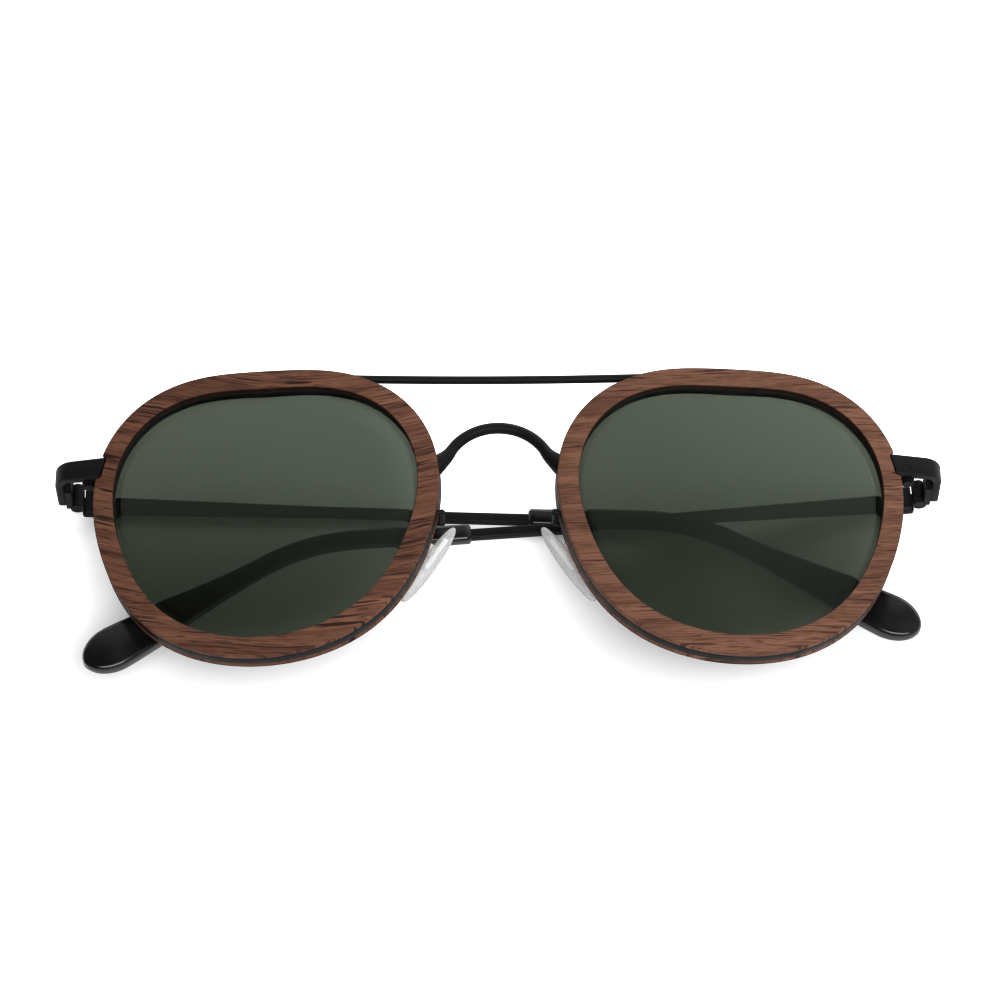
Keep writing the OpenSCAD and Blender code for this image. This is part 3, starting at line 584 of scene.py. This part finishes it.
def wire(name, line, radius, across, n=28, end_round=True):
    """Circle of a given radius along a line: one axis is 'across' made square to the line.

    Towards a rounded end the radius shrinks by sqrt(1 - (1 - left)^2), left being the way to the end
    in radii."""
    step = np.gradient(line, axis=0)
    step /= np.linalg.norm(step, axis=1, keepdims=True)
    side = across - (step * across).sum(1, keepdims=True) * step
    side /= np.linalg.norm(side, axis=1, keepdims=True)
    up = np.cross(step, side)
    a = np.linspace(0, 2 * np.pi, n, endpoint=False)[None, :, None]
    r = np.broadcast_to(np.asarray(radius, float), len(line)).copy()
    if end_round:
        s = np.concatenate([[0], np.cumsum(np.linalg.norm(np.diff(line, axis=0), axis=1))])
        left = np.minimum(np.minimum(s, s[-1] - s) / r, 1)
        r = r * np.maximum(np.sqrt(1 - (1 - left) ** 2), END_LEAST)
    grid = line[:, None] + r[:, None, None] * (np.cos(a) * side[:, None] + np.sin(a) * up[:, None])
    return skin(name, grid, edge=0.0)


BRIDGE_D, FOOT_D, ARCH_R, BRIDGE_BEND_R, BRIDGE_RISE = 1.8, 3.3, 9.0, 6.0, 15.5
ARCH_ANGLE, FOOT_ANGLE = math.radians(60), math.radians(44)
HALF_WIRE, FOOT_START, FOOT_SUNK = 17.5, 8.5, 1.2
WIRE_DEPTH = FRONT_PLY_T + RIM_T / 2
BRIDGE_Z = FRONT_Z - front_d(NASAL_U, WIRE_DEPTH)
s = np.linspace(0, HALF_WIRE, 200)
back_turn = np.clip((s - ARCH_R * ARCH_ANGLE) / BRIDGE_BEND_R, 0, ARCH_ANGLE - FOOT_ANGLE)
heading = np.minimum(s / ARCH_R, ARCH_ANGLE) - back_turn
ds = s[1] - s[0]
half_x = np.concatenate([[0], np.cumsum(np.cos(heading[:-1]) * ds)])
half_y = EYE_Y + BRIDGE_RISE - np.concatenate([[0], np.cumsum(np.sin(heading[:-1]) * ds)])
eye_u, eye_v = half_x - EYE_X, half_y - EYE_Y
kept = np.hypot(eye_u, eye_v) > opening_radius(np.arctan2(eye_v, eye_u)) + RING_W - FOOT_SUNK
s, half_x, half_y = s[kept], half_x[kept], half_y[kept]
line = np.stack([np.concatenate([-half_x[:0:-1], half_x]), np.concatenate([half_y[:0:-1], half_y]),
                 np.full(2 * len(s) - 1, BRIDGE_Z)], 1)
swell = ease((np.concatenate([s[:0:-1], s]) - FOOT_START) / (s[-1] - FOOT_START))
thick = BRIDGE_D / 2 + (FOOT_D - BRIDGE_D) / 2 * swell
settle(wire("bridge_wire", line, thick, FORWARD, end_round=False), "front", "black_metal", metal, "bridge")

# %% Top bar
BAR_D, BAR_BELOW, BAR_DIP, BAR_CAP = 1.3, 1.15, 0.4, 0.7
bar_low, bar_high = (np.array(corner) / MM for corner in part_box("top_bar"))
BAR_HALF, BAR_Z = bar_high[0], (bar_low[2] + bar_high[2]) / 2
bar_r = (BAR_HALF ** 2 + BAR_DIP ** 2) / (2 * BAR_DIP)
bar_cap = BAR_CAP * np.linspace(0, 1, 9) ** 2
x = np.concatenate([-BAR_HALF + bar_cap[:-1], np.linspace(-BAR_HALF + BAR_CAP, BAR_HALF - BAR_CAP, 121),
                    BAR_HALF - bar_cap[-2::-1]])
y = EYE_Y + RING_TOP - BAR_BELOW + bar_r - np.sqrt(bar_r ** 2 - x ** 2)
line = np.stack([x, y, np.full_like(x, BAR_Z)], 1)
settle(wire("top_bar_wire", line, BAR_D / 2, FORWARD), "front", "black_metal", metal, "top_bar")

# %% [markdown]
# An endpiece is a flat strap that leaves the rim, bends back and becomes the arm that carries the
# hinge. A box with a bend modifier would come close, but its inner end would be square. Here the
# section is a rounded bar whose stations start on the ring's own edge, which is at another place for
# each height, so the inner end follows the wood as on the real one.

# %% Endpieces
STRAP_ROUND, STRAP_SLIM, ROUND_LEAST, ROUND_MORE = 0.3, 0.4, 0.02, 0.05
LEAD_N, ARM_N, MEET_DEPTH = 12, 14, 0.5
arc = np.linspace(STRAP_ANGLE - np.pi / 2, 0, 22)
mid_r = STRAP_BEND_R - STRAP_T / 2
end_turn = np.linspace(0, np.pi / 2, 6)[1:]
arm = np.concatenate([np.linspace(BEND_D, ARM_END_D - STRAP_ROUND, ARM_N)[1:],
                      ARM_END_D - STRAP_ROUND * (1 - np.sin(end_turn))])
inset = np.concatenate([np.zeros(LEAD_N + len(arc) + ARM_N - 1), STRAP_ROUND * (1 - np.cos(end_turn))])
slim = STRAP_SLIM * ease(np.arange(len(inset)) / (LEAD_N + len(arc)))
height, depth, mark = rounded_bar(STRAP_H - slim - 2 * inset, STRAP_T - 2 * inset,
                                  np.maximum(STRAP_ROUND - inset, ROUND_LEAST) + ROUND_MORE)
height = height + slim[:, None] / 2
edge_r = opening_radius(edge_line) + RING_W - NOTCH_DEPTH
end_u = np.interp(height[0] + ENDPIECE_RISE, edge_r * np.sin(edge_line), edge_r * np.cos(edge_line))
start_l = (BEND_X + mid_r * math.sin(STRAP_ANGLE) - front_x(end_u, MEET_DEPTH)) / math.cos(STRAP_ANGLE)
back_l = start_l[None] * np.linspace(1, 0, LEAD_N + 1)[:-1, None]
normal = np.concatenate([np.full(LEAD_N, arc[0]), arc, np.zeros(len(arm))])[:, None]
centre_x = np.concatenate([BEND_X + mid_r * math.cos(arc[0]) - back_l * math.cos(STRAP_ANGLE),
                           np.repeat(BEND_X + mid_r * np.cos(arc)[:, None], height.shape[1], 1),
                           np.full((len(arm), height.shape[1]), BEND_X + mid_r)])
centre_d = np.concatenate([BEND_D + mid_r * math.sin(arc[0]) - back_l * math.sin(STRAP_ANGLE),
                           np.repeat(BEND_D + mid_r * np.sin(arc)[:, None], height.shape[1], 1),
                           np.repeat(arm[:, None], height.shape[1], 1)])
strap_x = centre_x + depth * np.cos(normal)
strap_d = centre_d + depth * np.sin(normal)
for side, sign in SIDES.items():
    grid = np.stack([sign * strap_x, ENDPIECE_Y + height, FRONT_Z - strap_d], -1)
    settle(skin("strap_" + side, grid, edge=mark), "front", "black_metal", metal, "endpiece_" + side)

# %% [markdown]
# A temple is a flat bar that slims towards its middle and ends inside an acetate tip. Bar and tip
# are drawn straight, with x from the hinge to the end, and then folded: half a turn about the hinge,
# a little more for the right one, which lies in front of the left one. Drawing them folded from the
# start would mix the temple's own shape with its place, and the two sides could not share it.

# %% Temples: where they lie
TEMPLE_L, TEMPLE_DROP = 145.0, math.radians(4.2)
HINGE_LEAN, RIGHT_FOLD = math.radians(2.1), math.radians(3.6)
FOLDS = {"right": (HINGE_LEAN, RIGHT_FOLD), "left": (-HINGE_LEAN, 0.0)}


def turned(points, axis, angle):
    """The points turned about one of the three axes: the other two mix by cosine and sine."""
    i, j = {"x": (1, 2), "y": (2, 0), "z": (0, 1)}[axis]
    out = points.copy()
    out[..., i] = points[..., i] * math.cos(angle) - points[..., j] * math.sin(angle)
    out[..., j] = points[..., i] * math.sin(angle) + points[..., j] * math.cos(angle)
    return out


def temple_y(s):
    """Height of the straight temple's middle line at a distance from the hinge."""
    return -TEMPLE_LOW / 2 - s * math.tan(TEMPLE_DROP)


def folded(grid, side):
    """From the straight temple to its place: turned about the hinge, leaned and set on its side."""
    lean, fold = FOLDS[side]
    placed = turned(turned(grid, "y", math.pi + fold), "z", lean)
    placed = placed + np.array([HINGE_X, HINGE_Y, FRONT_Z - HINGE_D])
    return placed * np.array([SIDES[side], 1, 1])


print("the right temple is folded", round(math.degrees(RIGHT_FOLD), 1), "degrees further than the left")

# %% Temple bars
BAR_T, BAR_START, BUTT_X, SLIM_X, TIP_X = 1.3, 8.0, 0.65, 42.0, 75.5
BAR_H_HINGE, BAR_H_SLIM = 3.0, 1.8
BAR_ROUND, BAR_LEAST, BAR_MORE, BAR_IN_TIP, BAR_N = 0.3, 0.01, 0.04, 1.0, 90
end_turn = np.linspace(0, np.pi / 2, 6)
lead_in = BAR_ROUND * (1 - np.cos(end_turn))
s = np.concatenate([BUTT_X + lead_in, np.linspace(BUTT_X + 2 * BAR_ROUND, TIP_X + BAR_IN_TIP, BAR_N)])
bar_h = np.interp(s, [BUTT_X, BAR_START, SLIM_X, TIP_X], [BAR_H_HINGE, BAR_H_HINGE, BAR_H_SLIM, BAR_H_SLIM])
inset = np.concatenate([BAR_ROUND * (1 - np.sin(end_turn)), np.zeros(BAR_N)])
tall, deep, mark = rounded_bar(bar_h - 2 * inset, BAR_T - 2 * inset,
                               np.maximum(BAR_ROUND - inset, BAR_LEAST) + BAR_MORE)
flat_bar = np.stack([np.broadcast_to(s[:, None], tall.shape), temple_y(s)[:, None] + tall,
                     HINGE_OUT - BAR_T / 2 + deep], -1)
for side in SIDES:
    settle(skin("temple_bar_" + side, folded(flat_bar, side), edge=mark), "temple_" + side, "black_metal",
           metal, "temple_" + side)

# %% Acetate tips
TIP_H_COLLAR, TIP_H_END, TIP_T_COLLAR, TIP_T_END = 3.2, 7.6, 2.1, 2.5
TIP_BEND_X, TIP_BEND, TIP_BEND_R = 94.5, math.radians(27), 34.0
TIP_GROW_X, TIP_GROW_L, TIP_END_L = 16.0, 32.0, 6.0
TIP_ROUND, ROUND_SHARE, TIP_LEAD, TIP_LEAST_H, END_SQUEEZE = 0.75, 0.36, 0.4, 0.2, 0.6
end_x = TEMPLE_L - TIP_END_L
s = np.concatenate([TIP_X + TIP_LEAD * (1 - np.cos(np.linspace(0, np.pi / 2, 6))),
                    np.linspace(TIP_X + TIP_LEAD, end_x, 90)[1:],
                    end_x + TIP_END_L * np.sin(np.linspace(0, np.pi / 2, 26)[1:])])
bend = np.clip((s - TIP_BEND_X) / TIP_BEND_R, 0, TIP_BEND)
heading = TEMPLE_DROP + bend
more = np.maximum(0, s - TIP_BEND_X - TIP_BEND_R * TIP_BEND)
past = s > TIP_BEND_X
bent_x = TIP_BEND_X + TIP_BEND_R * (np.sin(heading) - math.sin(TEMPLE_DROP)) + more * np.cos(heading)
bent_y = (temple_y(TIP_BEND_X) + TIP_BEND_R * (np.cos(heading) - math.cos(TEMPLE_DROP))
          - more * np.sin(heading))
mid_x, mid_y = np.where(past, bent_x, s), np.where(past, bent_y, temple_y(s))
grown = ease((s - TIP_BEND_X - TIP_GROW_X) / TIP_GROW_L)
cap = np.sqrt(np.maximum(0, 1 - np.clip((s - end_x) / TIP_END_L, 0, 1) ** 2))
lead_in = TIP_LEAD * (1 - np.sqrt(np.clip((s - TIP_X) / TIP_LEAD, 0, 1)))
tip_h = np.maximum(TIP_LEAST_H, (TIP_H_COLLAR + (TIP_H_END - TIP_H_COLLAR) * grown) * cap - 2 * lead_in)
tip_t = TIP_T_COLLAR + (TIP_T_END - TIP_T_COLLAR) * grown
squeeze = lead_in + END_SQUEEZE * (1 - cap)
tall, deep, mark = rounded_bar(tip_h, tip_t - 2 * squeeze, np.minimum(TIP_ROUND, ROUND_SHARE * tip_h),
                               corner_n=9)
tip = np.stack([mid_x[:, None] + tall * np.sin(heading)[:, None],
                mid_y[:, None] + tall * np.cos(heading)[:, None],
                HINGE_OUT - tip_t[:, None] / 2 + deep], -1)
for side in SIDES:
    settle(skin("acetate_tip_" + side, folded(tip, side), edge=mark), "temple_" + side, "acetate", acetate,
           "tip_" + side)

# %% [markdown]
# A nose pad is a flattened oval of clear silicone, fuller towards its lower end. It turns a little on
# a screw in a small metal box, and a bent wire brazed to the rim carries that box. A squashed ball is
# slimmer towards its ends, so the oval's half width is a power of the sine, which fills them out.

# %% Nose pads
PAD_L, PAD_W, PAD_T, PAD_X, PAD_LOW, PAD_BACK = 15.0, 7.0, 2.6, 11.5, 7.0, 8.4
PAD_RAKE, PAD_SPLAY, PAD_SLANT = (math.radians(x) for x in (12, 17, 32))
PAD_FULL, PAD_TAPER = 0.42, 0.12
PAD_ENDS = math.radians(3), math.radians(177)
PAD_POS = np.array([PAD_X, EYE_Y - PAD_LOW, FRONT_Z - PAD_BACK])


def at_pad(points, side):
    """From the pad's own axes to its place on that side: raked, splayed, slanted and set down."""
    placed = turned(turned(turned(points, "x", PAD_RAKE), "y", -PAD_SPLAY), "z", PAD_SLANT) + PAD_POS
    return placed * np.array([SIDES[side], 1, 1])


t = np.linspace(*PAD_ENDS, 56)[:, None]
a = np.linspace(0, 2 * np.pi, 48, endpoint=False)[None]
full = np.sin(t) ** (2 * PAD_FULL)
pad = np.stack([PAD_T / 2 * full * np.cos(a), PAD_L / 2 * np.cos(t) * np.ones_like(a),
                PAD_W / 2 * full * (1 - PAD_TAPER * np.cos(t)) * np.sin(a)], -1)
for side in SIDES:
    settle(skin("silicone_pad_" + side, at_pad(pad, side), edge=0.0), "pad_" + side, "pad_silicone", silicone,
           "nose_pad_" + side)

# %% [markdown]
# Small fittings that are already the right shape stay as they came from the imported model: screws,
# rivets, locks, hinge leaves, pad arms and pad inserts. Building them again would add nothing that
# shows, so they only get their finish.

# %% Finishes for the fittings that stay
FITTINGS = {
    metal: ["rivets", "rim_lock_left", "rim_lock_right", "lock_screws", "hinge_front_left",
            "hinge_front_right", "hinge_screws", "pad_arm_left", "pad_arm_right", "pad_screws",
            "temple_leaf_left", "temple_leaf_right"],
    insert: ["pad_core_left", "pad_core_right"],
}
for finish, nodes in FITTINGS.items():
    for node in nodes:
        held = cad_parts[node].data.materials
        held.clear()
        held.append(finish)
    print(finish.name, "on", len(nodes), "fittings")

# %% [markdown]
# The photograph was taken on white paper in a soft, bright room. A lit sheet of paper would turn grey
# towards the edges of the picture, so the floor is a shadow catcher: it takes the shadows and leaves
# the ground behind it white.

# %% Floor
FLOOR_REACH, FLOOR_GAP = 3.0, 0.00002
floor_mesh = bpy.data.meshes.new("paper")
corners = np.array([(-1, -1, 0), (1, -1, 0), (1, 1, 0), (-1, 1, 0)]) * FLOOR_REACH
floor_mesh.from_pydata(corners.tolist(), [], [(0, 1, 2, 3)])
paper = bpy.data.objects.new("paper", floor_mesh)
bpy.context.scene.collection.objects.link(paper)
paper.location.z = -FLOOR_GAP
white, _, shader, _ = material("white_paper")
shader.inputs["Base Color"].default_value = (0.92, 0.92, 0.92, 1)
shader.inputs["Roughness"].default_value = 0.9
shader.inputs["Specular IOR Level"].default_value = 0.1
floor_mesh.materials.append(white)
paper.is_shadow_catcher = True
print("floor reaches", FLOOR_REACH, "m")

# %% [markdown]
# The room is a sky with a bright wall behind the glasses and some more light from the right, which
# the lenses mirror as a soft gradient. Reflections see this sky at less than its strength, so that
# the temples still show through the lenses, and the camera sees it whiter than white, which washes
# the faint end of the shadows out.

# %% Sky
ROOM, BACK_GLOW, RIGHT_GLOW, WHITE_OUT, MIRRORED = 0.1, 0.9, 0.45, 1.5, 0.5
BACK_FROM, BACK_TO, RIGHT_FROM, RIGHT_TO = 0.465, 0.515, 0.0, 0.3
sky = bpy.data.worlds.new("soft_room")
bpy.context.scene.world = sky
sky.use_nodes = True
tree = sky.node_tree
background = tree.nodes["Background"].inputs
background["Color"].default_value = (1, 1, 1, 1)
where = add(tree, "ShaderNodeTexCoord").outputs["Generated"]
aim = add(tree, "ShaderNodeSeparateXYZ", Vector=where).outputs
room = maths(tree, "MULTIPLY_ADD", between(tree, aim["Y"], BACK_FROM, BACK_TO), BACK_GLOW, ROOM)
room = maths(tree, "MULTIPLY_ADD", between(tree, aim["X"], RIGHT_FROM, RIGHT_TO), RIGHT_GLOW, room)
path = add(tree, "ShaderNodeLightPath").outputs
share = maths(tree, "MULTIPLY_ADD", path["Is Glossy Ray"], MIRRORED - 1, 1.0)
room = maths(tree, "MULTIPLY", room, share)
bright = maths(tree, "MULTIPLY_ADD", path["Is Camera Ray"], WHITE_OUT, room)
tree.links.new(bright, background["Strength"])
bpy.context.scene.view_settings.view_transform = "Standard"
print("sky has", len(tree.nodes), "nodes")

# %% [markdown]
# Three soft boxes shape the piece: a large one in front and above for the wood, a long one behind for
# the edges of the black parts, and a weak one on the right. Area lamps are chosen because a small
# lamp would throw hard shadows that the photograph doesn't have.

# %% Lamps


def lamp(name, spot, width, height, power):
    """A large soft box at a spot, turned so that it faces the middle of the glasses."""
    light = bpy.data.lights.new(name, "AREA")
    light.shape, light.size, light.size_y, light.energy = "RECTANGLE", width, height, power
    made = bpy.data.objects.new(name, light)
    bpy.context.scene.collection.objects.link(made)
    made.location = spot
    aim = -np.array(spot)
    made.rotation_euler = (math.atan2(math.hypot(aim[0], aim[1]), -aim[2]), 0,
                           math.atan2(aim[1], aim[0]) - math.pi / 2)
    print(name, power, "W")


lamp("front_lamp", spot=(0.15, -0.5, 0.9), width=0.8, height=0.6, power=8.8)
lamp("back_lamp", spot=(0.25, 0.75, 0.42), width=1.2, height=0.5, power=2.5)
lamp("right_lamp", spot=(0.9, 0.0, 0.5), width=0.5, height=0.5, power=1.5)

# %% [markdown]
# The camera stands in front of the glasses and looks down at 60 degrees, as in the photograph, with a
# very small roll that levels the top bar. A short lens close by would swell what is nearest, so it is
# a long lens from further away.

# %% Camera
TARGET = np.array([0.28, EYE_Y - 1.1, FRONT_Z + 2.5]) * MM
ELEVATION, DISTANCE, ROLL = math.radians(60), 0.65, 0.0045
SENSOR, FOCAL, NEAR, FAR = 36.0, 143.9, 0.01, 20.0
camera = bpy.data.objects.new("photo_camera", bpy.data.cameras.new("photo_camera"))
bpy.context.scene.collection.objects.link(camera)
camera.data.sensor_width = SENSOR
camera.data.lens = FOCAL
camera.data.clip_start, camera.data.clip_end = NEAR, FAR
camera.location = TARGET + DISTANCE * np.array([0, -math.cos(ELEVATION), math.sin(ELEVATION)])
tilted = Matrix.Rotation(math.pi / 2 - ELEVATION, 3, "X") @ Matrix.Rotation(-ROLL, 3, "Z")
camera.rotation_euler = tilted.to_euler()
bpy.context.scene.camera = camera
print("camera at", [round(x, 3) for x in camera.location])
